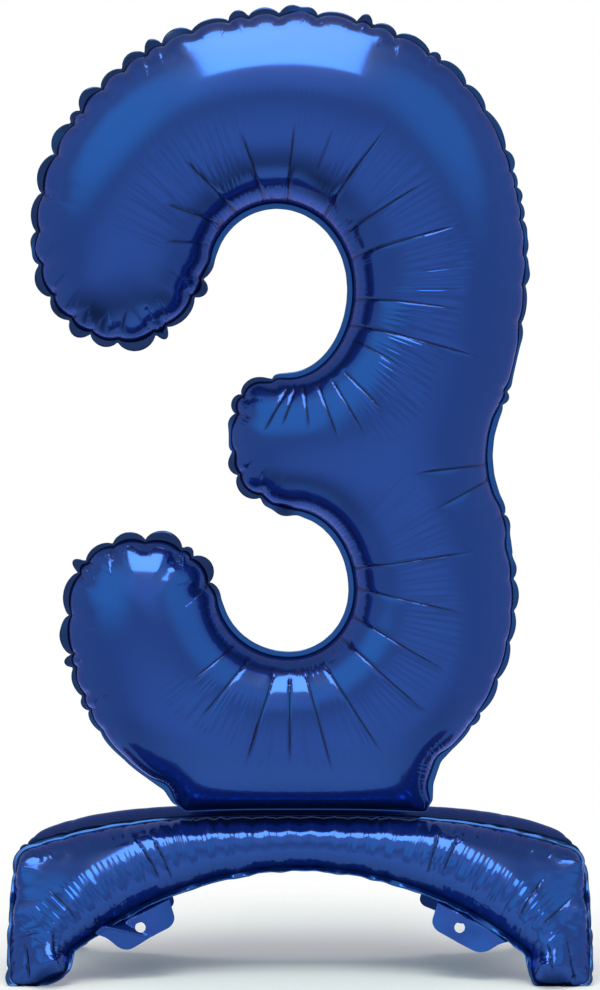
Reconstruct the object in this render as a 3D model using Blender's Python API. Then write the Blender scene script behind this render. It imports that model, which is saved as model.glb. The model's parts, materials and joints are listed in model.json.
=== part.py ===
"""A standing foil number balloon, the figure 3, on a base of two inflated arches.

Two metallised film panels make the figure, and two more make each arch. Every pair is heat
sealed round its edge, which leaves a flat rim. The arches hang from one weld under the figure
and lean apart, so that the balloon stands on four feet.

Metres, +Z up, the figure faces -Y. The origin is on the floor, midway between the feet.
"""

from math import atan2, ceil, copysign, cos, pi, radians, sin, sqrt

import bmesh
import bpy
import numpy as np
from mathutils import Matrix, Vector
from mathutils.geometry import delaunay_2d_cdt

MM = 0.001

# Film and seams. Real film is about 0.04 mm thick: it is drawn thicker so that it is a solid.
FILM = 0.8 * MM
RIM_WIDTH = 5.0 * MM
RIM_THICKNESS = 1.0 * MM
SEAM_GAP = 0.3 * MM
PANEL_EDGE = FILM + SEAM_GAP / 2  # a panel's face from the middle plane, at its seam
VALVE_FILM = 0.4 * MM

# How far each panel bulges, as a share of a half-round tube of the same width.
FIGURE_BULGE = 0.76
LEG_OUTER_BULGE = 0.80
LEG_INNER_BULGE = 0.44

# The figure 3. Heights are above the floor.
FIGURE_FOOT = 124.0 * MM  # its bottom seam, in the crease above the arches
NECK_LEFT = -92.0 * MM
NECK_RIGHT = 101.0 * MM
FIGURE_POINTS_EVERY = 15.0 * MM
FIGURE_FILL_EVERY = 21.0 * MM

# The crease, where the rims of the figure and of both arches are welded face to face.
HINGE_HEIGHT = 121.0 * MM
HINGE_SETBACK = 1.2 * MM
SPLAY = radians(34.0)  # each arch leans this far from upright
CREASE_DROP = 26.0 * MM  # the crease is level in the middle and falls this far at the ends

# An arch, in its own leaning plane, measured down from its hinge.
ARCH_CROWN = 46.7 * MM  # down to the middle of its lower seam
ARCH_RADIUS = 251.0 * MM
ARCH_HALF_WIDTH = 220.0 * MM
SHOULDER_RADIUS = 15.0 * MM
SIDE_RADIUS = 400.0 * MM
FOOT_X = 198.0 * MM
FOOT_RADII = (21.0 * MM, 4.0 * MM)
FOOT_SEAM_HEIGHT = 0.7 * MM
LEG_POINTS_EVERY = 11.0 * MM
LEG_FILL_EVERY = 17.0 * MM

# Tie tabs, two on each arch, with a punched hole for a ribbon.
TAB_X = 127.0 * MM
TAB_CLEARANCE = 2.3 * MM  # the rim is curved and the root is straight
TAB_DEPTH = 20.0 * MM
TAB_ROOT = 24.0 * MM  # half its length along the seam
TAB_CORNER = 9.0 * MM
TAB_THICKNESS = 1.0 * MM
HOLE_RADIUS = 4.0 * MM
HOLE_DROP = 8.0 * MM

# Self-sealing valves: two flat plastic films that lie inside a chamber from its seam.
VALVE_WIDTH = 20.0 * MM
FIGURE_VALVE_LENGTH = 72.0 * MM
LEG_VALVE_LENGTH = 46.0 * MM
VALVE_INSET = 8.0 * MM
VALVE_TAPER = 0.75

BLUE = (0.02, 0.07, 0.33, 1.0)
CLEAR = (0.75, 0.80, 0.85, 1.0)


# ---- outlines: closed lists of (x, z) -----------------------------------------------------


def ellipse(centre, radii, start, stop, steps=16, power=2.0):
    """Points along an upright ellipse, with its angles in degrees from +x towards +z.

    A power above 2 makes it squarer.
    """
    points = []
    for i in range(steps + 1):
        angle = radians(start + (stop - start) * i / steps)
        x, z = (copysign(abs(v) ** (2 / power), v) for v in (cos(angle), sin(angle)))
        points.append((centre[0] + radii[0] * x, centre[1] + radii[1] * z))
    return points


def rounded(corners):
    """Points round a polygon whose corners are (x, z, fillet radius)."""
    points = []
    for i, (x, z, radius) in enumerate(corners):
        here = Vector((x, z))
        before = (Vector(corners[i - 1][:2]) - here).normalized()
        after = (Vector(corners[(i + 1) % len(corners)][:2]) - here).normalized()
        if radius == 0:
            points.append((x, z))
            continue
        half = before.angle(after) / 2
        centre = here + (before + after).normalized() * radius / sin(half)
        start, stop = here + before * radius / np.tan(half), here + after * radius / np.tan(half)
        first = atan2(start.y - centre.y, start.x - centre.x)
        turn = (atan2(stop.y - centre.y, stop.x - centre.x) - first + pi) % (2 * pi) - pi
        steps = max(2, ceil(abs(turn) / radians(18)))
        for k in range(steps + 1):
            a = first + turn * k / steps
            points.append((centre.x + radius * cos(a), centre.y + radius * sin(a)))
    return points


def crease_drop(x):
    """How far the crease between the figure and the arches has fallen at x."""
    return CREASE_DROP * (abs(x) / ARCH_HALF_WIDTH) ** 3


def spaced(points, every):
    """The same closed outline with its points evenly spaced."""
    path = np.array(points + points[:1])
    run = np.concatenate([[0], np.cumsum(np.hypot(*np.diff(path, axis=0).T))])
    at = np.linspace(0, run[-1], round(run[-1] / every), endpoint=False)
    return np.stack([np.interp(at, run, path[:, k]) for k in (0, 1)], axis=1)


def eased(points, rounds):
    """An evenly spaced outline with its joins rounded a little."""
    for _ in range(rounds):
        points = points / 2 + (np.roll(points, 1, axis=0) + np.roll(points, -1, axis=0)) / 4
    return points


def outward(points):
    """The unit vector out of a closed outline at each of its points."""
    along = np.roll(points, -1, axis=0) - np.roll(points, 1, axis=0)
    normal = np.stack([along[:, 1], -along[:, 0]], axis=1)
    normal /= np.hypot(*normal.T)[:, None]
    x, z = points.T
    area = np.sum(x * np.roll(z, -1) - z * np.roll(x, -1))
    return normal * np.sign(area)


def figure_outline():
    """The seam of the figure 3, from the waist on its right side and over the top."""
    mm = [
        *ellipse((235, 403), (88, 88), 212, 148, 6),  # waist, on the right side
        *ellipse((-10.2, 545), (186.5, 208), -16, 0, 4),  # upper bowl, outer edge
        *ellipse((-10.2, 545), (186.5, 208), 4, 90, 16, power=2.3),
        *ellipse((-10.2, 575), (199.3, 178), 90, 178, 18),
        *ellipse((-140, 560), (67, 68), 180, 352, 18, power=1.85),  # upper end of the stroke
        *ellipse((-18, 548), (55, 55.5), 175, 92, 8),  # upper counter
        *ellipse((-18, 535), (60.5, 68.5), 90, 0, 8),
        *ellipse((-10, 535), (52.5, 71.5), 0, -90, 10),
        *ellipse((-28, 438), (24, 24.5), 90, 180, 6),  # middle arm, round to its tip
        *ellipse((-22, 398), (30, 30), 180, 245, 6),
        *ellipse((-8, 297), (51.6, 64), 90, 0, 8),  # lower counter
        *ellipse((-8, 297), (51.6, 54), 0, -90, 8),
        *ellipse((-9, 298), (58.5, 55), 270, 182, 8),
        *ellipse((-125, 277.5), (58.5, 60), 22, 180, 18, power=2.3),  # lower end of the stroke
        *ellipse((-8, 265), (175.5, 146), 182, 237, 12),  # lower bowl, outer edge
    ]
    right = ellipse((-8, 290), (175.5, 166), -49, 14, 12)  # lower bowl, up to the waist
    points = [(x * MM, z * MM) for x, z in mm]
    points += [(x, FIGURE_FOOT - crease_drop(x)) for x in np.linspace(NECK_LEFT, NECK_RIGHT, 9)]
    points += [(NECK_RIGHT - 1 * MM, FIGURE_FOOT + 20 * MM)]
    points += [(x * MM, z * MM) for x, z in right]
    return eased(spaced(points, FIGURE_POINTS_EVERY), 1)


def arch_outline():
    """The seam of one arch in its own plane, with z measured up from its hinge."""
    top = -(RIM_WIDTH + SEAM_GAP)
    foot = -(HINGE_HEIGHT - FOOT_SEAM_HEIGHT) / cos(SPLAY)
    shoulder_x = ARCH_HALF_WIDTH - SHOULDER_RADIUS
    shoulder_z = top - crease_drop(shoulder_x) / cos(SPLAY) - SHOULDER_RADIUS
    side_x = ARCH_HALF_WIDTH - SIDE_RADIUS
    lower_end = 90 - np.degrees(np.arcsin((FOOT_X - FOOT_RADII[0]) / ARCH_RADIUS))
    half = [(x, top - crease_drop(x) / cos(SPLAY)) for x in np.linspace(0, shoulder_x, 12)]
    half += ellipse((shoulder_x, shoulder_z), (SHOULDER_RADIUS, SHOULDER_RADIUS), 60, 0, 5)
    half += ellipse((side_x, (shoulder_z + foot) / 2), (SIDE_RADIUS, SIDE_RADIUS), 3, -4, 4)
    half += ellipse((FOOT_X, foot + FOOT_RADII[1]), FOOT_RADII, -10, -165, 8)
    half += ellipse(
        (0, -(ARCH_CROWN + ARCH_RADIUS)), (ARCH_RADIUS, ARCH_RADIUS), lower_end, 90, 14
    )
    other = [(-x, z) for x, z in reversed(half[1:-1])]
    return eased(spaced(half + other, LEG_POINTS_EVERY), 1)


# ---- film panels --------------------------------------------------------------------------


def inside(points, outline):
    """Which points lie inside a closed outline."""
    hit = np.zeros(len(points), bool)
    for (x0, z0), (x1, z1) in zip(outline, np.roll(outline, -1, axis=0)):
        crosses = (z0 > points[:, 1]) != (z1 > points[:, 1])
        rise = z1 - z0 if z1 != z0 else 1.0
        hit ^= crosses & (points[:, 0] < x0 + (points[:, 1] - z0) * (x1 - x0) / rise)
    return hit


def filled(outline, every):
    """Triangles over an outline: (points, triangles), with the outline's own points first."""
    low, high = outline.min(axis=0), outline.max(axis=0)
    rows = np.arange(low[1], high[1], every * sqrt(3) / 2)
    shift = [every / 2 * (i % 2) for i in range(len(rows))]
    grid = np.array([(x + s, z) for z, s in zip(rows, shift) for x in np.arange(low[0], high[0], every)])
    grid = grid[inside(grid, outline)]
    reach = np.hypot(*(grid[:, None] - outline[None]).transpose(2, 0, 1)).min(axis=1)
    grid = grid[reach > 0.62 * every]
    points = np.vstack([outline, grid])
    sides = [(i, (i + 1) % len(outline)) for i in range(len(outline))]
    made = delaunay_2d_cdt([Vector(p) for p in points], sides, [], 0, 1e-7, True)
    order = np.array([ids[0] for ids in made[3]])
    faces = order[np.array(made[2])]
    faces = faces[inside(points[faces].mean(axis=1), outline)]
    return points, [tuple(int(i) for i in face) for face in faces]


def dome(points, faces, edge_count):
    """The height at each point of a film pillow with this plan, half round where it is a tube.

    It is the square root of a soap film's height under pressure, which is an exact half circle
    across a straight tube. The first edge_count points are on the seam, at height 0.
    """
    count = len(points)
    matrix, load = np.zeros((count, count)), np.zeros(count)
    for face in faces:
        for k in range(3):
            a, b, c = face[k], face[(k + 1) % 3], face[(k + 2) % 3]
            ca, cb = points[a] - points[c], points[b] - points[c]
            double_area = abs(ca[0] * cb[1] - ca[1] * cb[0])
            weight = ca.dot(cb) / double_area / 2
            matrix[a, b] -= weight
            matrix[b, a] -= weight
            matrix[a, a] += weight
            matrix[b, b] += weight
            load[a] += double_area / 6
    film = np.zeros(count)
    film[edge_count:] = np.linalg.solve(matrix[edge_count:, edge_count:], load[edge_count:])
    return np.sqrt(2 * np.maximum(film, 0))


def mesh_object(name, points, faces, colour, parent=None, smooth=True):
    """A named object from points and faces, with its faces turned outwards."""
    mesh = bpy.data.meshes.new(name)
    mesh.from_pydata([tuple(p) for p in points], [], faces)
    if smooth:
        mesh.shade_smooth()
    obj = bpy.data.objects.new(name, mesh)
    bpy.context.scene.collection.objects.link(obj)
    obj.parent = parent
    mesh.materials.append(film_material(name, colour))
    return obj


def film_material(name, colour):
    material = bpy.data.materials.new(name)
    material.use_nodes = True
    shader = material.node_tree.nodes["Principled BSDF"]
    shader.inputs["Base Color"].default_value = colour
    shader.inputs["Metallic"].default_value = 0.0 if colour is CLEAR else 1.0
    shader.inputs["Roughness"].default_value = 0.18
    return material


def panel(name, plan, faces, heights, side, parent=None):
    """One film panel. side is -1 for the face towards -y and +1 for the other."""
    points = [(x, side * (PANEL_EDGE + h), z) for (x, z), h in zip(plan, heights)]
    a, b, c = (Vector(points[i]) for i in faces[0])
    if (b - a).cross(c - a).y * side < 0:
        faces = [tuple(reversed(face)) for face in faces]
    obj = mesh_object(name, points, faces, BLUE, parent)
    solid = obj.modifiers.new("film", "SOLIDIFY")
    solid.thickness = FILM
    solid.offset = -1
    return obj


def lying_on_floor(point, level):
    """A point of an arch, in its own plane, with what would pass the floor bent out along it.

    level is the height that the film's face lies at. Film keeps its length as it bends.
    """
    x, y, z = point
    height = HINGE_HEIGHT - y * sin(SPLAY) + z * cos(SPLAY)
    if height >= level:
        return point
    past = (level - height) / cos(SPLAY)
    out = y * cos(SPLAY) + z * sin(SPLAY) + past * sin(SPLAY) - past
    drop = level - HINGE_HEIGHT
    return (x, out * cos(SPLAY) - drop * sin(SPLAY), out * sin(SPLAY) + drop * cos(SPLAY))


def rim(name, outline, parent=None, on_floor=False):
    """The flat welded rim outside a seam, as a closed band with a row along its middle."""
    normal = outward(outline)
    rows = [outline + normal * (SEAM_GAP + RIM_WIDTH * share) for share in (0, 0.4, 1)]
    half = RIM_THICKNESS / 2
    loops = [(row, -half) for row in rows] + [(row, half) for row in reversed(rows)]
    points = []
    for row, y in loops:
        for x, z in row:
            point = (x, y, z)
            if on_floor:
                point = lying_on_floor(point, RIM_THICKNESS * (y < 0))
            points.append(point)
    count = len(outline)
    faces = []
    for loop in range(len(loops)):
        here, there = loop * count, (loop + 1) % len(loops) * count
        for i in range(count):
            j = (i + 1) % count
            faces.append((here + i, here + j, there + j, there + i))
    obj = mesh_object(name, points, faces, BLUE, parent, smooth=False)
    turn_outwards(obj.data)
    return obj


def turn_outwards(mesh):
    made = bmesh.new()
    made.from_mesh(mesh)
    bmesh.ops.recalc_face_normals(made, faces=made.faces)
    made.to_mesh(mesh)
    made.free()


def plate(name, outlines, thickness, colour, parent=None):
    """A flat plate in the xz plane. Outlines after the first are its holes."""
    curve = bpy.data.curves.new(name, "CURVE")
    curve.dimensions = "2D"
    curve.fill_mode = "BOTH"
    curve.extrude = thickness / 2
    for outline in outlines:
        spline = curve.splines.new("POLY")
        spline.points.add(len(outline) - 1)
        for point, (x, z) in zip(spline.points, outline):
            point.co = (x, z, 0, 1)
        spline.use_cyclic_u = True
    upright = Matrix.Rotation(pi / 2, 4, "X")
    obj = bpy.data.objects.new(name, curve)
    bpy.context.scene.collection.objects.link(obj)
    obj.parent = parent
    obj.matrix_local = upright
    curve.materials.append(film_material(name, colour))
    return obj


def empty(name, location=(0, 0, 0), turn=(0, 0, 0), parent=None):
    made = bpy.data.objects.new(name, None)
    bpy.context.scene.collection.objects.link(made)
    made.parent = parent
    made.location = location
    made.rotation_euler = turn
    return made


# ---- pieces -------------------------------------------------------------------------------


def valve(names, length, parent, spot, turn):
    """The two films of a flat valve, lying one over the other, with their mouth at spot."""
    mouth = empty(names[0] + "_mouth", (spot[0], 0, spot[1]), (0, turn, 0), parent)
    wide, narrow = VALVE_WIDTH / 2, VALVE_WIDTH / 2 * VALVE_TAPER
    outline = [(-wide, 0), (wide, 0), (wide, length / 2), (narrow, length)]
    outline += [(-narrow, length), (-wide, length / 2)]
    for name, side in zip(names, (-1, 1)):
        film = plate(name, [outline], VALVE_FILM, CLEAR, mouth)
        film.location.y = side * (VALVE_FILM + SEAM_GAP) / 2


def tab(name, hand, leg):
    """A tie tab, hinged along its root on the rim. hand is +1 at the leg's own +x end."""
    reach = ARCH_RADIUS - SEAM_GAP - RIM_WIDTH - TAB_CLEARANCE
    swing = np.arcsin(TAB_X / reach)
    root = (hand * TAB_X, 0, reach * cos(swing) - ARCH_CROWN - ARCH_RADIUS)
    hinge = empty(name + "_hinge", root, (0, hand * swing, 0), leg)
    corners = [
        (TAB_ROOT, 0, 0),
        (TAB_ROOT - 8 * MM, -TAB_DEPTH, TAB_CORNER),
        (-TAB_ROOT + 11 * MM, -TAB_DEPTH, TAB_CORNER),
        (-TAB_ROOT, 0, 0),
    ]
    outline = [(hand * x, z) for x, z in rounded(corners)]
    hole = ellipse((0, -HOLE_DROP), (HOLE_RADIUS, HOLE_RADIUS), 0, 337.5, 15)
    plate(name, [outline, hole], TAB_THICKNESS, BLUE, hinge)


def build_figure():
    outline = figure_outline()
    plan, faces = filled(outline, FIGURE_FILL_EVERY)
    heights = dome(plan, faces, len(outline)) * FIGURE_BULGE
    panel("number_front_panel", plan, faces, heights, -1)
    panel("number_rear_panel", plan, faces, heights, 1)
    rim("number_seam_rim", outline)
    valve(
        ("number_valve_front_film", "number_valve_rear_film"),
        FIGURE_VALVE_LENGTH,
        None,
        (NECK_RIGHT - VALVE_INSET, FIGURE_FOOT + VALVE_WIDTH / 2 + 6 * MM),
        -radians(80),
    )


def build_leg(end, facing, tabs):
    """One arch with its rim, valve and tabs. facing is -1 for the front and +1 for the rear."""
    turn = (-SPLAY, 0, 0 if facing < 0 else pi)
    leg = empty(f"{end}_leg_hinge", (0, facing * HINGE_SETBACK, HINGE_HEIGHT), turn)
    outline = arch_outline()
    plan, faces = filled(outline, LEG_FILL_EVERY)
    heights = dome(plan, faces, len(outline))
    panel(f"{end}_leg_outer_panel", plan, faces, heights * LEG_OUTER_BULGE, -1, leg)
    panel(f"{end}_leg_inner_panel", plan, faces, heights * LEG_INNER_BULGE, 1, leg)
    rim(f"{end}_leg_seam_rim", outline, leg, on_floor=True)
    swing = radians(30)
    reach = ARCH_RADIUS + VALVE_INSET
    spot = (-reach * sin(swing), reach * cos(swing) - ARCH_CROWN - ARCH_RADIUS)
    films = (f"{end}_leg_valve_outer_film", f"{end}_leg_valve_inner_film")
    valve(films, LEG_VALVE_LENGTH, leg, spot, -swing)
    for name, hand in tabs:
        tab(name, hand, leg)


for old in list(bpy.data.objects):
    bpy.data.objects.remove(old)

build_figure()
build_leg("front", -1, (("front_left_tab", -1), ("front_right_tab", 1)))
build_leg("rear", 1, (("rear_right_tab", -1), ("rear_left_tab", 1)))
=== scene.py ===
import json
from math import cos, degrees, hypot, pi, radians, sin, sqrt

import bmesh
import bpy
import numpy as np
from mathutils import Matrix, Vector
from mathutils.geometry import delaunay_2d_cdt
from mathutils.kdtree import KDTree


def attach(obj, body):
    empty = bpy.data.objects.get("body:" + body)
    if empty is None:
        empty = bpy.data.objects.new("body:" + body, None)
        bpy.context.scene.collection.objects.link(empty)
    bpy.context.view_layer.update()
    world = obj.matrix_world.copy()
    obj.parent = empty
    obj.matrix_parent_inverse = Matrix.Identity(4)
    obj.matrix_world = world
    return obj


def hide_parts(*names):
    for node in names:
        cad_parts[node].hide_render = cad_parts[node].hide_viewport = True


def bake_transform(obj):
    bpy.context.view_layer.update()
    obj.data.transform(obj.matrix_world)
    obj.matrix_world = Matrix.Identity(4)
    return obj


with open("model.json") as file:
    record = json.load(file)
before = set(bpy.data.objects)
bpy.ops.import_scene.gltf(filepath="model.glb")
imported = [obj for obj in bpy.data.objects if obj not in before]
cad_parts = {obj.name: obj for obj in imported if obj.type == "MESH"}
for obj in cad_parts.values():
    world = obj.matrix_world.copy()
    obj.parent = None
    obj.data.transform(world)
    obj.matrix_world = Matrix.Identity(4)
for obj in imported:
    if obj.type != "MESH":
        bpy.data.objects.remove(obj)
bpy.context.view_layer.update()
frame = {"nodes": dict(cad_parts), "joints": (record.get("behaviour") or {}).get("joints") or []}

MM = 0.001

# Film, seams and the places that the frame gives.
RIM_WIDTH = 5.2 * MM
PLAIN_RIM = 2.0 * MM  # its width in sight where the seam is straight: the film bulges past it
RIM_THICKNESS = 0.5 * MM
RIM_LAP = 0.3 * MM  # how far the rim reaches in under the film
FILM_GAP = 0.3 * MM  # from the seam's plane to each of its two films
FLOOR_RADIUS = 0.46
SPLAY = radians(34.0)
HINGE = {j["name"]: Vector(j["pos_m"]) for j in frame["joints"]}
HINGE_HEIGHT = HINGE["front_leg_spread"].z
FIGURE_FOOT = 124.0 * MM  # height of the figure's lower seam
NECK_LEFT = -92.0 * MM
NECK_RIGHT = 101.0 * MM
CREASE_DROP = 26.0 * MM  # how far the crease above the arches has fallen at its ends
ARCH_CROWN = 46.7 * MM  # from the hinge down to the top of an arch's opening
ARCH_RADIUS = 251.0 * MM  # of this opening's round seam
ARCH_HALF_WIDTH = 220.0 * MM
SHOULDER_RADIUS = 15.0 * MM
SIDE_RADIUS = 400.0 * MM
FOOT_X = 198.0 * MM
FOOT_RADII = (21.0 * MM, 4.0 * MM)
FOOT_SEAM_HEIGHT = 0.7 * MM
FOOT_FILM_HEIGHT = 0.4 * MM

# How far each film stands out, as a share of a round tube's.
FIGURE_BULGE = 0.78
LEG_OUTER_BULGE = 0.84
LEG_INNER_BULGE = 0.34
REAR_LEG_RISE = 0.45  # what the rear leg's outer film has more at its top edge

# The grid that the film is drawn on.
SEAM_STEP = 1.3 * MM
FILL_STEP = 3.0 * MM
RING_DEPTHS = (0.8, 1.7, 2.8, 4.1, 5.7, 7.6, 9.9, 12.4, 15.2, 18.2, 21.4)  # in mm, rows inwards

SCALLOP = 2.4 * MM  # how far a pinch pulls a rounded seam in
FULLNESS = 2.4 * MM  # how far the film bulges out past a straight seam
LOBE = (11.0 * MM, 32.0 * MM)  # narrowest and widest stretch between two pinches
LOBE_CHOICES = np.array([12.0, 17.0, 22.0, 26.0, 31.0]) * MM
RIM_PINCHED = 2.2 * MM  # width of the rim at a pinch
RIM_LOBE = 7.0 * MM  # how far it stands out from there between two pinches
PUCKER = 3.6 * MM  # depth of a pinch
PLEAT = 3.9 * MM  # from one fine pleat to the next


# ---- outlines -----------------------------------------------------------------------------


def ellipse(centre, radii, start, stop, steps=16, power=2.0):
    """Points along an upright ellipse, with its angles in degrees from +x towards +z.

    A power above 2 makes it squarer.
    """
    turn = np.radians(np.linspace(start, stop, steps + 1))
    x, z = (np.sign(v) * np.abs(v) ** (2 / power) for v in (np.cos(turn), np.sin(turn)))
    return list(zip(centre[0] + radii[0] * x, centre[1] + radii[1] * z))


def crease_drop(x):
    """How far the crease between the figure and the arches has fallen at x."""
    return CREASE_DROP * (abs(x) / ARCH_HALF_WIDTH) ** 3


def figure_corners():
    """The seam of the figure 3, from the waist on its right side and over the top."""
    mm = [
        *ellipse((235, 403), (88, 88), 212, 148, 6),  # waist, on the right side
        *ellipse((-10.2, 545), (186.5, 208), -16, 0, 4),  # upper bowl, outer edge
        *ellipse((-10.2, 545), (186.5, 208), 4, 90, 16, power=2.3),
        *ellipse((-10.2, 575), (199.3, 178), 90, 178, 18),
        *ellipse((-140, 560), (67, 68), 180, 352, 18, power=1.85),  # upper end of the stroke
        *ellipse((-18, 548), (55, 55.5), 175, 92, 8),  # upper counter
        *ellipse((-18, 535), (60.5, 68.5), 90, 0, 8),
        *ellipse((-10, 535), (52.5, 71.5), 0, -90, 10),
        *ellipse((-28, 438), (24, 24.5), 90, 180, 6),  # middle arm, round to its tip
        *ellipse((-22, 398), (30, 30), 180, 245, 6),
        *ellipse((-8, 297), (51.6, 64), 90, 0, 8),  # lower counter
        *ellipse((-8, 297), (51.6, 54), 0, -90, 8),
        *ellipse((-9, 298), (58.5, 55), 270, 182, 8),
        *ellipse((-125, 277.5), (58.5, 60), 22, 180, 18, power=2.3),  # lower end of the stroke
        *ellipse((-8, 265), (175.5, 146), 182, 237, 12),  # lower bowl, outer edge
    ]
    right = ellipse((-8, 290), (175.5, 166), -49, 14, 12)  # lower bowl, up to the waist
    points = [(x * MM, z * MM) for x, z in mm]
    points += [(x, FIGURE_FOOT - crease_drop(x)) for x in np.linspace(NECK_LEFT, NECK_RIGHT, 9)]
    points += [(NECK_RIGHT - 1 * MM, FIGURE_FOOT + 20 * MM)]
    return points + [(x * MM, z * MM) for x, z in right]


def arch_corners():
    """The seam of one arch in its own plane, with z measured up from its hinge."""
    top = -(RIM_WIDTH + 0.1 * MM)
    foot = -(HINGE_HEIGHT - FOOT_SEAM_HEIGHT) / cos(SPLAY)
    shoulder_x = ARCH_HALF_WIDTH - SHOULDER_RADIUS
    shoulder_z = top - crease_drop(shoulder_x) / cos(SPLAY) - SHOULDER_RADIUS
    side_x = ARCH_HALF_WIDTH - SIDE_RADIUS
    lower_end = 90 - degrees(np.arcsin((FOOT_X - FOOT_RADII[0]) / ARCH_RADIUS))
    half = [(x, top - crease_drop(x) / cos(SPLAY)) for x in np.linspace(0, shoulder_x, 12)]
    half += ellipse((shoulder_x, shoulder_z), (SHOULDER_RADIUS, SHOULDER_RADIUS), 60, 0, 5)
    half += ellipse((side_x, (shoulder_z + foot) / 2), (SIDE_RADIUS, SIDE_RADIUS), 3, -4, 4)
    half += ellipse((FOOT_X, foot + FOOT_RADII[1]), FOOT_RADII, -10, -165, 8)
    half += ellipse(
        (0, -(ARCH_CROWN + ARCH_RADIUS)), (ARCH_RADIUS, ARCH_RADIUS), lower_end, 90, 14
    )
    return half + [(-x, z) for x, z in reversed(half[1:-1])]


def spaced(points, every):
    """The same closed outline with its points evenly spaced."""
    path = np.array(list(points) + [points[0]])
    run = np.concatenate([[0], np.cumsum(np.hypot(*np.diff(path, axis=0).T))])
    at = np.linspace(0, run[-1], round(run[-1] / every), endpoint=False)
    return np.stack([np.interp(at, run, path[:, k]) for k in (0, 1)], axis=1)


def eased(values, rounds):
    """Values round a closed outline, smoothed along it."""
    for _ in range(rounds):
        values = values / 2 + (np.roll(values, 1, axis=0) + np.roll(values, -1, axis=0)) / 4
    return values


def outward(points):
    """The unit vector out of a closed outline at each of its points."""
    along = np.roll(points, -1, axis=0) - np.roll(points, 1, axis=0)
    normal = np.stack([along[:, 1], -along[:, 0]], axis=1)
    normal /= np.hypot(*normal.T)[:, None]
    x, z = points.T
    return normal * np.sign(np.sum(x * np.roll(z, -1) - z * np.roll(x, -1)))


def roundness(points):
    """Curvature of a closed outline in 1/m, positive where it bulges outwards."""
    normal = eased(outward(points), 12)
    turn = np.roll(normal, -1, axis=0) - np.roll(normal, 1, axis=0)
    along = np.roll(points, -1, axis=0) - np.roll(points, 1, axis=0)
    return eased((turn * along).sum(axis=1) / (along**2).sum(axis=1), 12)


def ramp(value, low, high):
    """0 below low, 1 above high, and a smooth step between them."""
    t = np.clip((value - low) / (high - low), 0, 1)
    return t * t * (3 - 2 * t)


# ---- places along a seam ------------------------------------------------------------------


def nearest(points, others):
    """The index of the nearest of the other points to each point, and the distance to it."""
    tree = KDTree(len(others))
    for i, (x, z) in enumerate(others):
        tree.insert((x, z, 0), i)
    tree.balance()
    found = [tree.find((x, z, 0)) for x, z in points]
    return np.array([f[1] for f in found]), np.array([f[2] for f in found])


def depth_in(points, seam):
    """How deep each point lies inside a closed seam; below zero outside it."""
    index, reach = nearest(points, seam)
    beyond = ((points - seam[index]) * outward(seam)[index]).sum(axis=1)
    return np.where(beyond < 0, reach, -reach)


def clear_of(points, others, gap):
    """The points that keep a gap to all the others."""
    if not len(points):
        return points
    return points[nearest(points, others)[1] > gap]


def lattice(outline, every):
    """Evenly spread points over an outline's box."""
    low, high = outline.min(axis=0), outline.max(axis=0)
    rows = np.arange(low[1], high[1], every * sqrt(3) / 2)
    columns = np.arange(low[0], high[0], every)
    return np.array([(x + every / 2 * (i % 2), z) for i, z in enumerate(rows) for x in columns])


def triangulated(points, sides):
    """The triangles between points of a plan, with the given pairs of them joined by an edge."""
    made = delaunay_2d_cdt([Vector(p) for p in points], sides, [], 0, 1e-8, True)
    order = np.array([ids[0] for ids in made[3]])
    return order[np.array(made[2])]


def wander(x, random, low=-1.0, high=1.0):
    """A smooth random curve over x, with one free value at each whole number."""
    table = random.uniform(low, high, int(np.max(x) - np.min(x)) + 3)
    x = x - np.min(x)
    i = x.astype(int)
    t = x - i
    t = t * t * (3 - 2 * t)
    return table[i] * (1 - t) + table[i + 1] * t


class Fan:
    """Fine ripples in the film that fan out round a hub, over a stretch of its turn."""

    def __init__(self, hub, reach, turn, pitch, height, middle=1.0):
        """reach and turn are from and to; middle is the share of their height halfway round."""
        self.hub = np.array(hub)
        self.near, self.far = reach
        self.start, self.stop = turn
        self.pitch = pitch
        self.height = height
        self.middle = middle

    def ripple(self, points, random):
        """Each point's reach from the hub, its place in the ripples and how high they are."""
        away = points - self.hub
        reach = np.hypot(*away.T)
        middle = (self.start + self.stop) / 2
        turn = np.degrees(np.arctan2(away[:, 1], away[:, 0]))
        turn = (turn - middle + 180) % 360 - 180 + middle
        run = np.radians(turn) * (self.near + self.far) / 2 / self.pitch
        span = self.far - self.near
        shift = wander(run / 7, random, -0.15, 0.15) * span
        weight = ramp(reach - shift, self.near, self.near + 0.5 * span)
        weight *= 1 - ramp(reach - shift, self.far - 0.25 * span, self.far)
        weight *= ramp(turn, self.start, self.start + 10) * (1 - ramp(turn, self.stop - 10, self.stop))
        weight *= self.middle + (1 - self.middle) * ramp(np.abs(turn - middle), 14, 24)
        weight *= wander(run / 4, random, 0.15, 1.0)
        return reach, run, self.height * weight


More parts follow.
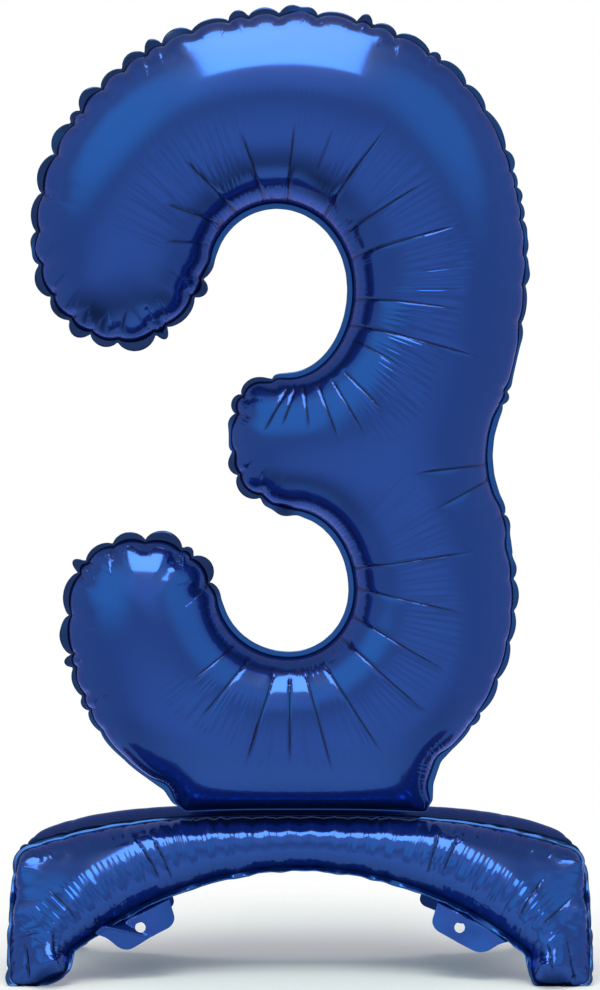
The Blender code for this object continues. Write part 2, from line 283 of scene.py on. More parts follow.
class Crease:
    """A straight fold in the film from its far end to where it is deepest."""

    def __init__(self, far, near, depth):
        """far and near are its two ends; depth is in mm."""
        self.far = np.array(far)
        self.way = np.subtract(near, far)
        self.length = hypot(*self.way)
        self.way = self.way / self.length
        self.across = np.array([-self.way[1], self.way[0]])
        self.depth = depth * MM

    def points(self):
        """Places in the plan for a fine grid along the fold."""
        along = np.linspace(0, self.length, max(3, round(self.length / (2 * MM))))
        offset = np.array([-4.2, -2.2, -1.1, -0.5, 0, 0.5, 1.1, 2.2, 4.2]) * MM
        a, b = (v.ravel()[:, None] for v in np.meshgrid(along, offset))
        return self.far + self.way * a + self.across * b

    def placed(self, points):
        """How far each point is aside, in mm, and how deep the fold is there, up to 1."""
        share = (points - self.far) @ self.way / self.length
        aside = np.abs((points - self.far) @ self.across) / MM
        return aside, ramp(share, -0.02, 0.3) * (1 - ramp(share, 1.0, 1.1))

    def core(self, points):
        """How strong the painted shade along the fold is: 1 along its bottom."""
        aside, depth = self.placed(points)
        return np.minimum(self.depth / MM, 1.0) * depth * np.exp(-((aside / 0.75) ** 2))

    def lift(self, points):
        """How far the fold moves each point of the film out; it is below zero."""
        aside, depth = self.placed(points)
        return -self.depth * depth * (0.4 * np.exp(-aside / 7.0) + 0.6 * np.exp(-aside / 0.8))


# ---- a pillow of film ---------------------------------------------------------------------


def dome(points, faces, fixed):
    """The height at each point of a film pillow with this plan, half round where it is a tube.

    It is the square root of a soap film's height under pressure, found by conjugate gradients.
    """
    a, b, c = (points[faces[:, k]] for k in range(3))
    area = np.abs((b - a)[:, 0] * (c - a)[:, 1] - (b - a)[:, 1] * (c - a)[:, 0]) / 2
    area = np.maximum(area, 1e-9)
    load = np.bincount(faces.ravel(), np.repeat(area / 3, 3), len(points))
    ends, weights = [], []
    for k in range(3):
        p, q, r = (points[faces[:, (k + n) % 3]] for n in range(3))
        weights.append(((p - r) * (q - r)).sum(axis=1) / area / 4)
        ends.append(faces[:, [k, (k + 1) % 3]])
    ends, weights = np.vstack(ends), np.concatenate(weights)
    free = np.arange(len(points)) >= fixed
    both = np.concatenate([ends[:, 0], ends[:, 1]])
    diagonal = np.maximum(np.bincount(both, np.tile(weights, 2), len(points)), 1e-9)
    film = np.zeros(len(points))
    rest = load * free
    step = rest / diagonal
    error = rest @ step
    for _ in range(1500):
        across = weights * (step[ends[:, 0]] - step[ends[:, 1]])
        pulled = np.bincount(both, np.concatenate([across, -across]), len(points)) * free
        size = error / (step @ pulled)
        film += size * step
        rest = rest - size * pulled
        ready = rest / diagonal
        error, last = rest @ ready, error
        if error < 1e-15:
            break
        step = ready + error / last * step
    return np.sqrt(2 * np.maximum(film, 0))


def normals_of(points, faces):
    """The unit normal at each point of a surface of triangles."""
    a, b, c = (points[faces[:, k]] for k in range(3))
    cross = np.cross(b - a, c - a)
    total = np.stack([np.bincount(faces.ravel(), np.repeat(v, 3), len(points)) for v in cross.T], 1)
    return total / np.maximum(np.linalg.norm(total, axis=1), 1e-15)[:, None]


def pinches_along(length, random):
    """Where the seam is pinched: uneven steps round its whole length."""
    places = [0.0]
    while places[-1] < length - LOBE[1]:
        places.append(places[-1] + random.choice(LOBE_CHOICES) * random.uniform(0.85, 1.15))
    return np.array(places)


class Pillow:
    """The plan of one inflated pillow: its pinched seam, its grid and its height."""

    def __init__(self, corners, seed, creases, fans, pucker, curl=0.0, comb=1.0):
        """corners are the seam's, pucker is how strongly it is pinched, curl how much its rim
        turns up, and comb how high the pleats are where the seam bends inwards.
        """
        random = np.random.RandomState(seed)
        outline = eased(spaced(corners, SEAM_STEP), 10)
        curve = roundness(outline)
        self.count = len(outline)
        self.run = np.arange(self.count) * SEAM_STEP
        self.rounded = eased(ramp(curve, 1.2, 4.0), 20)
        self.rounded *= pucker(outline)
        self.taut = eased(ramp(-curve, 1.2, 4.0), 20)
        self.closed = 1 - ramp(outline[:, 1], FIGURE_FOOT, FIGURE_FOOT + 8 * MM)
        self.closed *= outline[:, 1] > 0
        self.places = pinches_along(self.count * SEAM_STEP, random)
        amount = len(self.places)
        self.lobe_height = random.uniform(0.30, 1.0, amount)
        self.lobe_lean = random.uniform(-1.0, 1.0, amount)
        self.pinch_depth = random.uniform(0.35, 1.0, amount) * PUCKER
        self.pinch_reach = random.uniform(5.0, 16.0, amount) * MM
        self.normal = eased(outward(outline), 4)
        self.lobe, share = self.lobe_at(self.run)
        self.arch = np.sin(pi * share) ** 0.6
        pull = (1.0 * MM + SCALLOP * (1 - self.arch)) * self.rounded
        pull -= FULLNESS * (1 - self.rounded) * (1 - self.taut) * (1 - self.closed)
        self.seam = outline - self.normal * pull[:, None]
        self.creases = creases
        self.fans = fans
        self.curl = curl
        self.comb = comb
        self.plan, self.faces = self.grid()
        self.index, self.depth = nearest(self.plan, self.seam)
        self.height = dome(self.plan, self.faces, self.count)

    def lobe_at(self, run):
        """Which lobe each place along the seam is in, and its share of the way across it."""
        edges = np.append(self.places, self.count * SEAM_STEP)
        lobe = np.clip(np.searchsorted(edges, run, "right") - 1, 0, len(self.places) - 1)
        return lobe, (run - edges[lobe]) / (edges[lobe + 1] - edges[lobe])

    def grid(self):
        """Grid points and triangles over the plan, with the seam's own points first."""
        points = self.seam
        lean = eased(outward(self.seam), 5)
        for depth in RING_DEPTHS:
            row = self.seam - lean * depth * MM
            row = row[depth_in(row, self.seam) > 0.93 * depth * MM]
            points = np.vstack([points, clear_of(row, points, 0.62 * SEAM_STEP)])
        rings = points[self.count :]
        fill = lattice(self.seam, FILL_STEP)
        fill = fill[depth_in(fill, self.seam) > (RING_DEPTHS[-1] + 1.2) * MM]
        folds = np.vstack([crease.points() for crease in self.creases])
        folds = folds[depth_in(folds, self.seam) > 0.8 * SEAM_STEP]
        rings = clear_of(rings, folds, 0.5 * MM)
        fill = np.vstack([clear_of(fill, folds, 0.8 * MM), folds])
        points = np.vstack([self.seam, rings, fill])
        sides = [(i, (i + 1) % self.count) for i in range(self.count)]
        triangles = triangulated(points, sides)
        middle = points[triangles].mean(axis=1)
        return points, triangles[depth_in(middle, self.seam) > 0]

    def near_pinch(self):
        """For each grid point, the pinch nearest along the seam and how far aside it is."""
        run = self.index * SEAM_STEP
        lobe, share = self.lobe_at(run)
        edges = np.append(self.places, self.count * SEAM_STEP)
        pinch = np.where(share < 0.5, lobe, (lobe + 1) % len(self.places))
        aside = np.where(share < 0.5, run - edges[lobe], run - edges[lobe + 1])
        return pinch, aside, share

    def puckers(self):
        """How far the film stands out at each grid point, for the pinches at its rounded seams."""
        pinch, aside, share = self.near_pinch()
        bow = np.sin(pi * share)
        reach = self.pinch_reach[pinch]
        valley = 0.6 * np.exp(-np.abs(aside) / (2.4 * MM)) + 0.4 * (1 - bow**0.6)
        out = -self.pinch_depth[pinch] * valley * np.exp(-((self.depth / reach) ** 1.3))
        out += 0.9 * MM * bow**0.8 * np.exp(-((self.depth / (9 * MM)) ** 2))
        return out * self.rounded[self.index]

    def seam_ripple(self, random):
        """Each point's place in the pleats that run in from the seams, and how high they are."""
        pinch, aside, _ = self.near_pinch()
        run = self.index * SEAM_STEP / PLEAT
        amount = random.choice([0.0, 1.5, 2.5, 3.5], len(self.places))[pinch] * PLEAT
        length = random.uniform(8, 24, len(self.places))[pinch] * MM
        strength = random.uniform(0.06, 0.20, len(self.places))[pinch] * MM
        group = 1 - ramp(np.abs(aside), amount, amount + 0.7 * PLEAT)
        group *= strength * (1 - ramp(self.depth / length, 0.4, 1.0)) * self.rounded[self.index]
        reach = wander(run / 2.3, random, 4.0, 15.0) * MM
        comb = wander(run / 5, random, 0.05, 0.30) * MM * self.taut[self.index] * self.comb
        comb *= 1 - ramp(self.depth / reach, 0.4, 1.2)
        height = np.maximum(group, comb) * ramp(self.depth, 0.3 * MM, 2.0 * MM)
        clear = np.minimum(self.index, self.count - 1 - self.index)
        return run, height * ramp(clear, 2, 8)

    def ripples(self, random):
        """The film's fine ripples, and the painted shade at its seam and along its creases, as named
        values on its points, for its material.
        """
        found = [fan.ripple(self.plan, random) for fan in self.fans]
        nearest_fan = np.argmin([reach for reach, _, _ in found], axis=0)
        run, height = (np.choose(nearest_fan, [row[k] for row in found]) for k in (1, 2))
        # Painted shade: darkest in the gap at the seam and along the bottom of each crease
        painted_shade_amount = 0.75 * np.exp(-self.depth / (0.7 * MM))
        for crease in self.creases:
            painted_shade_amount = np.maximum(painted_shade_amount, crease.core(self.plan))
        seam_run, seam_height = self.seam_ripple(random)
        return {
            "ray": run,
            "ray_height": height,
            "pleat": seam_run,
            "pleat_height": seam_height,
            "painted_shade_amount": painted_shade_amount,
        }

    def surface(self, side, bulge, seed, height=None):
        """One panel's points. side is -1 for the film towards -y and +1 for the other."""
        random = np.random.RandomState(seed)
        height = (self.height if height is None else height) * bulge
        points = np.stack([self.plan[:, 0], side * (height + FILM_GAP), self.plan[:, 1]], axis=1)
        faces = self.faces
        normal = normals_of(points, faces)
        if (normal[:, 1] * side).sum() < 0:
            faces = faces[:, ::-1]
            normal = -normal
        out = self.puckers()
        for crease in self.creases:
            out += crease.lift(self.plan)
        moved = points + normal * (out * np.clip(self.depth / (2.5 * MM), 0, 1) ** 0.7)[:, None]
        share = self.arch[self.index] * self.rounded[self.index]
        sway = 1.5 * MM * self.lobe_lean[self.lobe[self.index]] * share
        moved[:, 1] += sway * np.exp(-self.depth / (4 * MM))
        return moved, faces, self.ripples(random)

    def rim(self):
        """The flat welded rim's points, as rows from the seam outwards."""
        random = np.random.RandomState(len(self.places))
        plain = PLAIN_RIM + (RIM_WIDTH - PLAIN_RIM) * self.taut
        lobed = RIM_PINCHED + RIM_LOBE * self.arch * self.lobe_height[self.lobe]
        width = plain * (1 - self.rounded) + lobed * self.rounded
        width *= 1 - self.closed * 0.6
        lean = self.lobe_lean[self.lobe] * self.arch * self.rounded
        turn = self.curl * self.taut * wander(self.run / (9 * MM), random, -0.1, 0.75)
        rows = []
        for share in (0.0, 0.25, 0.5, 0.75, 1.0):
            plan = self.seam + self.normal * (width * share - RIM_LAP * (share == 0))[:, None]
            y = lean * (1.5 * MM * (1 - share) + 0.5 * width * share) - turn * width * share
            rows.append(np.stack([plan[:, 0], y, plan[:, 1]], axis=1))
        return rows


# ---- making objects -----------------------------------------------------------------------


def film_object(name, points, faces, material, body, node, values=None):
    """A named object of film in place of a CAD node. It rides on a body, if there is one."""
    mesh = bpy.data.meshes.new(name)
    mesh.from_pydata(points.tolist(), [], np.asarray(faces).tolist())
    mesh.shade_smooth()
    mesh.materials.append(material)
    for key, value in (values or {}).items():
        layer = mesh.attributes.new(key, "FLOAT", "POINT")
        layer.data.foreach_set("value", value.astype(np.float32))
    obj = bpy.data.objects.new(name, mesh)
    bpy.context.scene.collection.objects.link(obj)
    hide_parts(node)
    if body:
        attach(obj, body)
    return obj


def band(rows, thickness):
    """A closed strip from rows of points, with a layer on each side of it."""
    count = len(rows[0])
    lift = np.array([0, thickness / 2, 0])
    loops = [row - lift for row in rows] + [row + lift for row in reversed(rows)]
    faces = []
    for loop in range(len(loops)):
        here, there = loop * count, (loop + 1) % len(loops) * count
        for i in range(count):
            j = (i + 1) % count
            faces.append((here + i, here + j, there + j, there + i))
    return np.vstack(loops), faces


def outwards(obj):
    """Turns the faces of a closed mesh outwards."""
    made = bmesh.new()
    made.from_mesh(obj.data)
    bmesh.ops.recalc_face_normals(made, faces=made.faces)
    made.to_mesh(obj.data)
    made.free()


# ---- materials ----------------------------------------------------------------------------

FOLD_SHADE_COLOUR = (0.003, 0.008, 0.04, 1)  # painted shade: the colour the film is mixed towards at the bottom of folds, in the gap at its seams and on its rim's lobes
GRAIN_HEIGHT = 0.012 * MM


def node_of(tree, kind, values=None, **settings):
    """A new shader node with its settings and the values of its inputs."""
    node = tree.nodes.new(kind)
    for key, value in settings.items():
        setattr(node, key, value)
    for key, value in (values or {}).items():
        node.inputs[key].default_value = value
    return node


def value_of(tree, name):
    """A named value of the mesh, as a socket."""
    return node_of(tree, "ShaderNodeAttribute", attribute_name=name).outputs["Fac"]


def maths(tree, operation, a, b):
    """The result of one sum, as a socket. a and b are sockets or numbers."""
    node = node_of(tree, "ShaderNodeMath", operation=operation)
    for socket, value in zip(node.inputs, (a, b)):
        if isinstance(value, (int, float)):
            socket.default_value = value
        else:
            tree.links.new(value, socket)
    return node.outputs[0]


def wave(tree, run, height, unevenness):
    """Uneven ripples: a sine of their run, pushed aside by noise, times their height."""
    noise = node_of(tree, "ShaderNodeTexNoise", noise_dimensions="1D")
    noise.inputs["Scale"].default_value = 0.45
    noise.inputs["Detail"].default_value = 1.0
    tree.links.new(run, noise.inputs["W"])
    shift = maths(tree, "MULTIPLY", noise.outputs["Fac"], unevenness)
    turn = maths(tree, "MULTIPLY", maths(tree, "ADD", run, shift), 2 * pi)
    return maths(tree, "MULTIPLY", maths(tree, "SINE", turn, 0.0), height)


def new_material(name):
    """An empty material, its node tree and its surface shader."""
    material = bpy.data.materials.new(name)
    material.use_nodes = True
    tree = material.node_tree
    return material, tree, tree.nodes["Principled BSDF"]


def foil(name, dark, light, rippled):
    """Metallised film: a mirror under blue lacquer with a fine grain, and ripples if rippled."""
    material, tree, shader = new_material(name)
    shader.inputs["Metallic"].default_value = 0.88
    shader.inputs["Specular Tint"].default_value = (0.28, 0.40, 0.80, 1)
    shader.inputs["Coat Weight"].default_value = 0.35
    shader.inputs["Coat Roughness"].default_value = 0.28
    place = node_of(tree, "ShaderNodeTexCoord").outputs["Object"]
    cloud = node_of(tree, "ShaderNodeTexNoise", {"Scale": 9.0, "Detail": 3.0})
    tree.links.new(place, cloud.inputs["Vector"])
    tint = node_of(tree, "ShaderNodeMix", data_type="RGBA")
    tint.inputs["A"].default_value = (*dark, 1)
    tint.inputs["B"].default_value = (*light, 1)
    tree.links.new(cloud.outputs["Fac"], tint.inputs["Factor"])
    # Painted shade: the base colour is mixed towards the near-black fold colour by the mesh's painted
    # shade amount
    painted_shade_mix = node_of(tree, "ShaderNodeMix", data_type="RGBA")
    painted_shade_mix.inputs["B"].default_value = FOLD_SHADE_COLOUR
    tree.links.new(tint.outputs["Result"], painted_shade_mix.inputs["A"])
    tree.links.new(value_of(tree, "painted_shade_amount"), painted_shade_mix.inputs["Factor"])
    tree.links.new(painted_shade_mix.outputs["Result"], shader.inputs["Base Color"])
    gloss = node_of(tree, "ShaderNodeMapRange", {"To Min": 0.06, "To Max": 0.15})
    tree.links.new(cloud.outputs["Fac"], gloss.inputs["Value"])
    tree.links.new(gloss.outputs["Result"], shader.inputs["Roughness"])
    grain = node_of(tree, "ShaderNodeTexNoise", {"Scale": 160.0, "Detail": 2.0})
    tree.links.new(place, grain.inputs["Vector"])
    height = maths(tree, "MULTIPLY", grain.outputs["Fac"], GRAIN_HEIGHT)
    if rippled:
        rays = wave(tree, value_of(tree, "ray"), value_of(tree, "ray_height"), 1.6)
        pleats = wave(tree, value_of(tree, "pleat"), value_of(tree, "pleat_height"), 2.4)
        height = maths(tree, "ADD", height, maths(tree, "ADD", rays, pleats))
    bump = node_of(tree, "ShaderNodeBump", {"Strength": 1.0, "Distance": 1.0})
    tree.links.new(height, bump.inputs["Height"])
    tree.links.new(bump.outputs["Normal"], shader.inputs["Normal"])
    return material


def clear_film(name):
    """The thin plastic of the valves, faintly cloudy."""
    material, tree, shader = new_material(name)
    shader.inputs["Base Color"].default_value = (0.75, 0.80, 0.85, 1)
    shader.inputs["Transmission Weight"].default_value = 0.7
    cloud = node_of(tree, "ShaderNodeTexNoise", {"Scale": 60.0, "Detail": 2.0})
    tree.links.new(node_of(tree, "ShaderNodeTexCoord").outputs["Object"], cloud.inputs["Vector"])
    haze = node_of(tree, "ShaderNodeMapRange", {"To Min": 0.12, "To Max": 0.35})
    tree.links.new(cloud.outputs["Fac"], haze.inputs["Value"])
    tree.links.new(haze.outputs["Result"], shader.inputs["Roughness"])
    return material


# ---- the balloon --------------------------------------------------------------------------

UPPER_HUB = (-20.0 * MM, 530.0 * MM)
LOWER_HUB = (-8.0 * MM, 292.0 * MM)
ARCH_HUB = (0.0, -(ARCH_CROWN + ARCH_RADIUS))
# Each crease as its angle at its far end and at its near end, in degrees from +x about a hub,
# how far out these ends are, and its depth, in mm.
UPPER_CREASES = (
    (156, 145, 93, 66, 0.7),
    (142, 127, 108, 66, 1.2),
    (125, 115, 124, 69, 1.5),
    (102, 96, 126, 70, 1.5),
    (83, 82, 131, 71, 1.5),
    (70, 70, 132, 98, 0.5),
    (55, 58, 158, 74, 1.8),
    (35, 39, 151, 76, 1.0),
    (19, 24, 156, 70, 1.8),
    (-6, -4, 149, 66, 1.5),
    (-18, -22, 173, 68, 1.8),
    (-31, -31, 112, 76, 0.9),
    (-48, -49, 127, 84, 1.2),
    (-58, -57, 132, 84, 1.2),
    (-67, -65, 128, 82, 1.2),
    (-76, -73, 112, 78, 1.0),
    (-87, -78, 106, 76, 1.1),
    (-95, -83, 112, 76, 1.1),
)
LOWER_CREASES = (
    (14, 24, 153, 56, 1.4),
    (-5, 7, 139, 55, 1.5),
    (-25, -17, 136, 53, 1.8),
    (-40, -38, 142, 56, 1.7),
    (-59, -62, 142, 62, 1.7),
    (-76, -78, 142, 62, 1.5),
    (-90, -90, 130, 64, 1.4),
    (-105, -102, 136, 62, 1.7),
    (-127, -124, 120, 60, 1.7),
    (-140, -139, 100, 60, 1.0),
)
# The same about the centre of an arch, and the pinched corners of its feet as far and near ends.
ARCH_CREASES = (
    (116, 115, 292, 258, 1.4),
    (113.5, 113, 290, 256, 1.3),
    (131, 131, 296, 262, 1.0),
    (68, 67.5, 290, 258, 1.2),
    (65, 65, 292, 262, 1.2),
    (51, 50, 300, 262, 1.2),
    (46, 46, 302, 268, 1.1),
)
FOOT_CREASES = (
    ((-210, -116), (-206, -142), 3.2),
    ((-188, -108), (-181, -140), 3.0),
    ((203, -112), (208, -142), 3.2),
    ((187, -120), (190, -141), 2.6),
)
WAIST_CREASES = (((85, 388), (147, 396), 1.6), ((103, 360), (148, 384), 1.5))


def hub_creases(hub, rows):
    """Creases that fan out round a hub."""
    found = []
    for far_angle, near_angle, far, near, depth in rows:
        ends = []
        for angle, reach in ((far_angle, far), (near_angle, near)):
            turn = radians(angle)
            ends.append((hub[0] + reach * MM * cos(turn), hub[1] + reach * MM * sin(turn)))
        found.append(Crease(*ends, depth))
    return found


def creases_between(rows):
    """Creases from one place to another."""
    found = []
    for far, near, depth in rows:
        found.append(Crease([v * MM for v in far], [v * MM for v in near], depth))
    return found


def figure_creases():
    """The figure's creases: round both bowls and at its waist."""
    bowls = hub_creases(UPPER_HUB, UPPER_CREASES) + hub_creases(LOWER_HUB, LOWER_CREASES)
    return bowls + creases_between(WAIST_CREASES)


def arch_creases():
    """An arch's creases: across its tube and at its feet."""
    return hub_creases(ARCH_HUB, ARCH_CREASES) + creases_between(FOOT_CREASES)


def figure_fans():
    """The figure's fine ripples, round the counter of each bowl."""
    return [
        Fan(UPPER_HUB, (84 * MM, 152 * MM), (-62, 168), 5.0 * MM, 0.26 * MM),
        Fan(LOWER_HUB, (76 * MM, 134 * MM), (-150, 60), 4.6 * MM, 0.26 * MM),
    ]


def arch_fans():
    """An arch's fine ripples, across its tube."""
    reach = (ARCH_RADIUS + 2 * MM, ARCH_RADIUS + 38 * MM)
    return [Fan(ARCH_HUB, reach, (38, 142), 4.4 * MM, 0.30 * MM, middle=0.35)]


def figure_pucker(outline):
    """How strongly the figure's seam is pinched: less on its right side, not at all at its neck."""
    x, z = outline.T
    return (1 - 0.5 * ramp(x, 60 * MM, 150 * MM)) * ramp(z, 150 * MM, 235 * MM)


def arch_pucker(outline):
    """How strongly an arch's seam is pinched: a little everywhere."""
    return np.full(len(outline), 0.35)


def build_figure(film, rim_film_painted_reflection):
    """The figure 3: its two films and the welded rim between them."""
    pillow = Pillow(figure_corners(), 7, figure_creases(), figure_fans(), figure_pucker)
    for name, side in (("front", -1), ("rear", 1)):
        points, faces, values = pillow.surface(side, FIGURE_BULGE, 11)
        node = f"number_{name}_panel"
        film_object(f"figure_{name}_film", points, faces, film, "figure", node, values)
    points, faces = band(pillow.rim(), RIM_THICKNESS)
    # Painted shade on the rim where the seam is rounded, darkening its lobes
    values = {"painted_shade_amount": np.tile(0.7 * pillow.rounded, len(points) // pillow.count)}
    rim = film_object("figure_rim", points, faces, rim_film_painted_reflection, "figure", "number_seam_rim", values)
    outwards(rim)


def leg_matrix(end):
    """From an arch's own plane to the whole object's frame."""
    facing = -1 if end == "front" else 1
    turn = Matrix.Rotation(0 if facing < 0 else pi, 4, "Z") @ Matrix.Rotation(-SPLAY, 4, "X")
    return np.array(Matrix.Translation(HINGE[f"{end}_leg_spread"]) @ turn)


def placed(points, matrix):
    """The same points moved by a matrix."""
    return points @ matrix[:3, :3].T + matrix[:3, 3]


def arch_edges(pillow):
    """How far each point of an arch is from its lower seam, and from the rest of its seam."""
    lower = pillow.taut > 0.5
    return [nearest(pillow.plan, pillow.seam[part])[1] for part in (lower, ~lower)]


def arch_tube(pillow):
    """The height of an arch's front film: a tube along the arch and a web up to its top edge."""
    below, above = arch_edges(pillow)
    x = np.abs(pillow.plan[:, 0])
    radius = (20 + 9 * ramp(x, 20 * MM, 130 * MM) - 9 * ramp(x, 165 * MM, 210 * MM)) * MM
    tube = 1.02 * radius * (1 - (1 - np.clip(below / radius, 0, 1)) ** 2.5) ** 0.4
    share = np.maximum(below - radius, 0)
    share = share / (share + above + 1e-6)
    edge = np.clip(above / (5 * MM), 0, 1)
    return settle(tube * (1 - share**1.9) * np.sqrt(1 - (1 - edge) ** 2), pillow, 8)


def arch_dome(pillow):
    """The height of an arch's rear film, which stands up from the crease above it."""
    above = arch_edges(pillow)[1]
    return pillow.height * (LEG_OUTER_BULGE + REAR_LEG_RISE * np.exp(-above / (24 * MM)))


def settle(height, pillow, rounds):
    """The same heights, evened out over the grid, with the seam held at zero."""
    ends = np.vstack([pillow.faces[:, [0, 1]], pillow.faces[:, [1, 2]], pillow.faces[:, [2, 0]]])
    both = ends.ravel()
    other = ends[:, ::-1].ravel()
    share = np.bincount(both, minlength=len(height))
    for _ in range(rounds):
        mean = np.bincount(both, height[other], len(height)) / np.maximum(share, 1)
        height = 0.4 * height + 0.6 * mean
        height[: pillow.count] = 0
    return height


def standing(points, matrix, gap):
    """A leg's points in the whole object's frame, none of them lower than the gap.

    The foot at the leg's own -x end is pinched up at its inner corner.
    """
    points = placed(points, matrix)
    low = 1 - ramp(points[:, 2], 0, 42 * MM)
    pinched = np.sign(matrix[0, 0]) * points[:, 0]
    points[:, 2] += 7 * MM * low * ramp(pinched, -208 * MM, -178 * MM) * (pinched < 0)
    points[:, 2] = np.maximum(points[:, 2], gap)
    return points


def build_leg(end, seed, film, rim_film_painted_reflection):
    """One leg, an inflated arch: its two films and its welded rim."""
    pillow = Pillow(
        arch_corners(), seed, arch_creases(), arch_fans(), arch_pucker, curl=1.0, comb=0.2
    )
    matrix = leg_matrix(end)
    body = f"{end}_leg"
    outer = arch_tube(pillow) if end == "front" else arch_dome(pillow)
    for name, side, height in (("outer", -1, outer), ("inner", 1, pillow.height * LEG_INNER_BULGE)):
        points, faces, values = pillow.surface(side, 1.0, seed, height)
        points = standing(points, matrix, FOOT_FILM_HEIGHT)
        node = f"{end}_leg_{name}_panel"
        film_object(f"{end}_leg_{name}_film", points, faces, film, body, node, values)
    points, faces = band(pillow.rim(), RIM_THICKNESS)
    points = standing(points, matrix, 0)
    # Painted shade on the rim: darker everywhere except along the arch's lower seam
    values = {"painted_shade_amount": np.tile(0.5 * (1 - pillow.taut), len(points) // pillow.count)}
    node = f"{end}_leg_seam_rim"
    rim = film_object(f"{end}_leg_rim", points, faces, rim_film_painted_reflection, body, node, values)
    outwards(rim)


# A tie tab's outline in its own plane, in mm: x along the seam towards the foot, z up from its
# root. It starts at the end away from the foot.
TAB_CORNERS = ((-28, 3.5), (-24, -15), (-18, -19), (19, -18), (25, -14), (30, -4), (38, 3))
TAB_SETBACK = 0.9 * MM
TAB_SHIFT = 3.0  # in mm, towards the foot on the right and away from it on the left
TAB_X = 127.0  # in mm, from the arch's middle to the tab's
TAB_ROOT = 243.4  # in mm, radius that the tab's root lies at
TAB_TOP = 249.0  # in mm, radius of its upper edge, in behind the arch's rim
HOLE_RADIUS = 4.0 * MM
HOLE_DROP = 8.0 * MM  # below the root
# A folded corner: where its two fold lines meet, and where the steep and the slight one end.
FOLD_FOOT = (-4.4, -19.6)
STEEP_FOLD = (10, 3)
SLIGHT_FOLD = (24, 2)


def tab_plan(hand):
    """Grid points and triangles over one tie tab, round its hole."""
    top = [(x, sqrt(TAB_TOP**2 - x**2) - TAB_ROOT) for x in range(36, -28, -3)]
    corners = [((hand * x + TAB_SHIFT) * MM, z * MM) for x, z in list(TAB_CORNERS) + top]
    outline = eased(spaced(corners, 1.0 * MM), 14)
    hole = np.array(ellipse((0, -HOLE_DROP), (HOLE_RADIUS, HOLE_RADIUS), 0, 352.5, 47))
    fill = lattice(outline, 1.2 * MM)
    fill = fill[(depth_in(fill, outline) > 0.7 * MM) & (depth_in(fill, hole) < -0.5 * MM)]
    points = np.vstack([outline, hole, fill])
    sides = []
    for start, loop in ((0, outline), (len(outline), hole)):
        sides += [(start + i, start + (i + 1) % len(loop)) for i in range(len(loop))]
    triangles = triangulated(points, sides)
    middle = points[triangles].mean(axis=1)
    return points, triangles[(depth_in(middle, outline) > 0) & (depth_in(middle, hole) < 0)]


def beyond(x, z, start, stop):
    """How far each place is beyond a line, on its right; zero on its left."""
    way = np.subtract(stop, start)
    aside = (x - stop[0]) * way[1] - (z - stop[1]) * way[0]
    return np.maximum(aside / hypot(*way), 0)


def build_tab(name, hand, film):
    """A tie tab of film that bends at its root. hand is +1 at the leg's own +x end.

    The tab at its -x end has a folded corner.
    """
    end = name.split("_")[0]
    plan, faces = tab_plan(hand)
    x, z = hand * plan[:, 0] / MM, plan[:, 1] / MM
    back = 0.22 * np.maximum(-z, 0) + 0.7 * np.sin(x / 7) * ramp(-z, 0, 12)
    if hand < 0:
        back -= 0.62 * beyond(x, z, FOLD_FOOT, STEEP_FOLD)
        back += 1.1 * beyond(x, z, FOLD_FOOT, SLIGHT_FOLD)
    y = TAB_SETBACK + back * MM
    swing = np.arcsin(TAB_X / TAB_ROOT)
    turn = Matrix.Rotation(hand * swing, 4, "Y")
    root = Vector((hand * TAB_X * MM, 0, TAB_ROOT * MM * cos(swing) + ARCH_HUB[1]))
    matrix = leg_matrix(end) @ np.array(Matrix.Translation(root) @ turn)
    points = placed(np.stack([plan[:, 0], y, plan[:, 1]], axis=1), matrix)
    reach = np.hypot(x, z + HOLE_DROP / MM)
    ripple = 0.03 * MM * ramp(reach, 4, 6) * (1 - ramp(reach, 12, 15))
    values = {"ray": reach / 2.4, "ray_height": ripple}
    tab = film_object(f"{name}_film", points, faces, film, None, name, values)
    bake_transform(tab)


# ---- stage --------------------------------------------------------------------------------


def soft_box(name, spot, size, power, colour):
    """A soft box that faces straight down."""
    light = bpy.data.lights.new(name, "AREA")
    light.shape = "RECTANGLE"
    light.size, light.size_y = size
    light.energy = power
    light.color = colour
    obj = bpy.data.objects.new(name, light)
    bpy.context.scene.collection.objects.link(obj)
    obj.location = spot


def build_floor():
    """A pale floor that fades out away from the object."""
    bpy.ops.mesh.primitive_circle_add(vertices=96, radius=FLOOR_RADIUS, fill_type="NGON")
    floor = bpy.context.object
    floor.name = "floor"
    floor.location.z = -0.0004
    material, tree, shader = new_material("floor_white")
    shader.inputs["Base Color"].default_value = (0.94, 0.94, 0.94, 1)
    shader.inputs["Roughness"].default_value = 0.8
    length = node_of(tree, "ShaderNodeVectorMath", operation="LENGTH")
    place = node_of(tree, "ShaderNodeTexCoord").outputs["Object"]
    tree.links.new(place, length.inputs[0])
    fade = node_of(tree, "ShaderNodeMapRange", interpolation_type="SMOOTHSTEP")
    fade.inputs["From Min"].default_value = 0.10
    fade.inputs["From Max"].default_value = FLOOR_RADIUS
    fade.inputs["To Min"].default_value = 1.0
    fade.inputs["To Max"].default_value = 0.0
    tree.links.new(length.outputs["Value"], fade.inputs["Value"])
    tree.links.new(fade.outputs["Result"], shader.inputs["Alpha"])
    floor.data.materials.append(material)


# Stretches of the studio that differ from the rest: which way they lie, the cosines where they
# start and are full, and how much light they add.
GLOWS = (
    ((0.0, 0.80, -0.60), 0.66, 0.97, 0.55),
    ((0.0, -0.85, -0.50), 0.60, 1.00, 0.30),
    ((0.0, -0.16, -1.0), 0.52, 0.90, -0.48),
    ((0.0, 0.70, 0.70), 0.60, 0.95, -0.22),
    ((-0.03, -0.75, 0.66), 0.93, 0.995, 0.40),
)
CYAN_GLOWS = (
    ((-0.63, -0.55, 0.55), 0.84, 0.99, 0.62),
    ((0.60, -0.55, 0.58), 0.86, 0.99, 0.42),
)


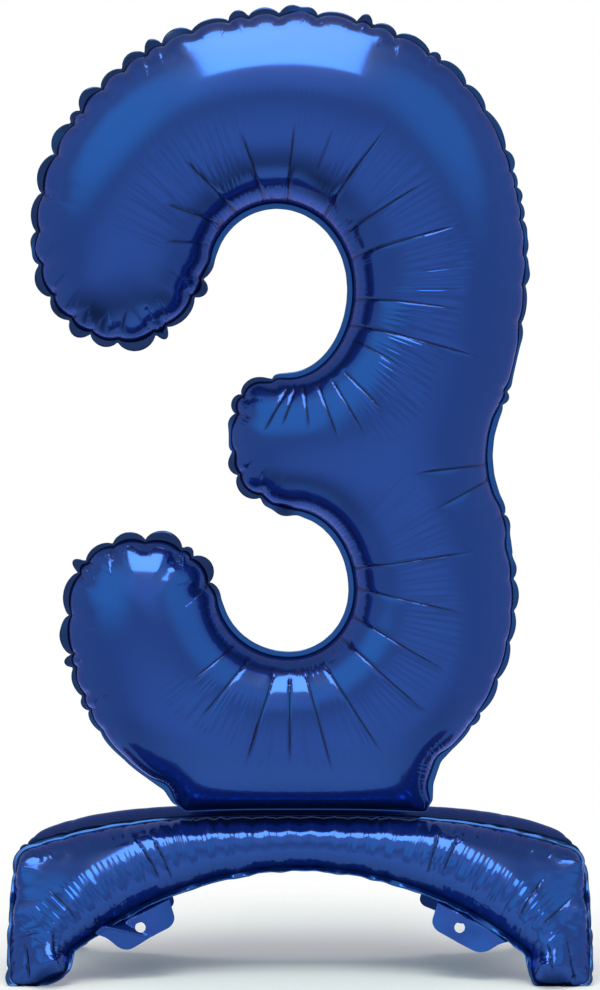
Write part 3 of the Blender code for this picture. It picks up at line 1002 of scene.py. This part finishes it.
def glow(tree, towards, low, high, strength):
    """How much light comes from round one direction of the world, fading between two cosines."""
    dot = node_of(tree, "ShaderNodeVectorMath", operation="DOT_PRODUCT")
    dot.inputs[1].default_value = Vector(towards).normalized()
    place = node_of(tree, "ShaderNodeTexCoord").outputs["Generated"]
    tree.links.new(place, dot.inputs[0])
    fade = node_of(tree, "ShaderNodeMapRange", interpolation_type="SMOOTHSTEP")
    fade.inputs["From Min"].default_value = low
    fade.inputs["From Max"].default_value = high
    fade.inputs["To Max"].default_value = strength
    tree.links.new(dot.outputs["Value"], fade.inputs["Value"])
    return fade.outputs["Result"]


def add_glows(tree, background, total, glows):
    """Gives a background its even light and its brighter and darker stretches."""
    for towards, low, high, strength in glows:
        total = maths(tree, "ADD", glow(tree, towards, low, high, strength), total)
    tree.links.new(total, background.inputs["Strength"])


def build_world():
    """A grey studio with brighter and darker stretches, which the camera sees white."""
    world = bpy.data.worlds.new("studio")
    bpy.context.scene.world = world
    world.use_nodes = True
    tree = world.node_tree
    grey = tree.nodes["Background"]
    grey.inputs["Color"].default_value = (0.93, 0.93, 1.0, 1)
    add_glows(tree, grey, 0.60, GLOWS)
    cyan = node_of(tree, "ShaderNodeBackground", {"Color": (0.15, 1.0, 0.85, 1)})
    add_glows(tree, cyan, 0.0, CYAN_GLOWS)
    studio = node_of(tree, "ShaderNodeAddShader")
    tree.links.new(grey.outputs[0], studio.inputs[0])
    tree.links.new(cyan.outputs[0], studio.inputs[1])
    white = node_of(tree, "ShaderNodeBackground", {"Color": (1, 1, 1, 1)})
    path = node_of(tree, "ShaderNodeLightPath")
    mix = node_of(tree, "ShaderNodeMixShader")
    tree.links.new(path.outputs["Is Camera Ray"], mix.inputs[0])
    tree.links.new(studio.outputs[0], mix.inputs[1])
    tree.links.new(white.outputs[0], mix.inputs[2])
    tree.links.new(mix.outputs[0], tree.nodes["World Output"].inputs["Surface"])


def build_stage():
    """The overhead light, the floor and the studio."""
    soft_box("overhead_box", (-0.06, -0.42, 2.0), (1.05, 1.65), 27, (1.0, 0.98, 0.86))
    build_floor()
    build_world()
    bpy.context.scene.view_settings.view_transform = "Standard"


def build_camera():
    """A level camera in front, two metres away."""
    camera = bpy.data.cameras.new("camera")
    camera.lens = 92
    camera.sensor_width = 36
    obj = bpy.data.objects.new("camera", camera)
    bpy.context.scene.collection.objects.link(obj)
    obj.location = (0, -2.0, 0.372)
    obj.rotation_euler = (pi / 2, 0, 0)
    bpy.context.scene.camera = obj


build_stage()
build_camera()
panel_film = foil("blue_foil", (0.012, 0.058, 0.30), (0.018, 0.082, 0.37), True)
# The rim's foil is a more cyan blue than the panels': a painted reflection of its flat face
rim_film_painted_reflection = foil("blue_foil_rim_painted_reflection", (0.008, 0.060, 0.24), (0.012, 0.105, 0.38), False)
build_figure(panel_film, rim_film_painted_reflection)
build_leg("front", 21, panel_film, rim_film_painted_reflection)
build_leg("rear", 34, panel_film, rim_film_painted_reflection)
for end, own_left, own_right in (("front", "left", "right"), ("rear", "right", "left")):
    build_tab(f"{end}_{own_left}_tab", -1, panel_film)
    build_tab(f"{end}_{own_right}_tab", 1, panel_film)
valve_film = clear_film("clear_film")
for name, node in frame["nodes"].items():
    if "valve" in name:
        node.data.materials.clear()
        node.data.materials.append(valve_film)
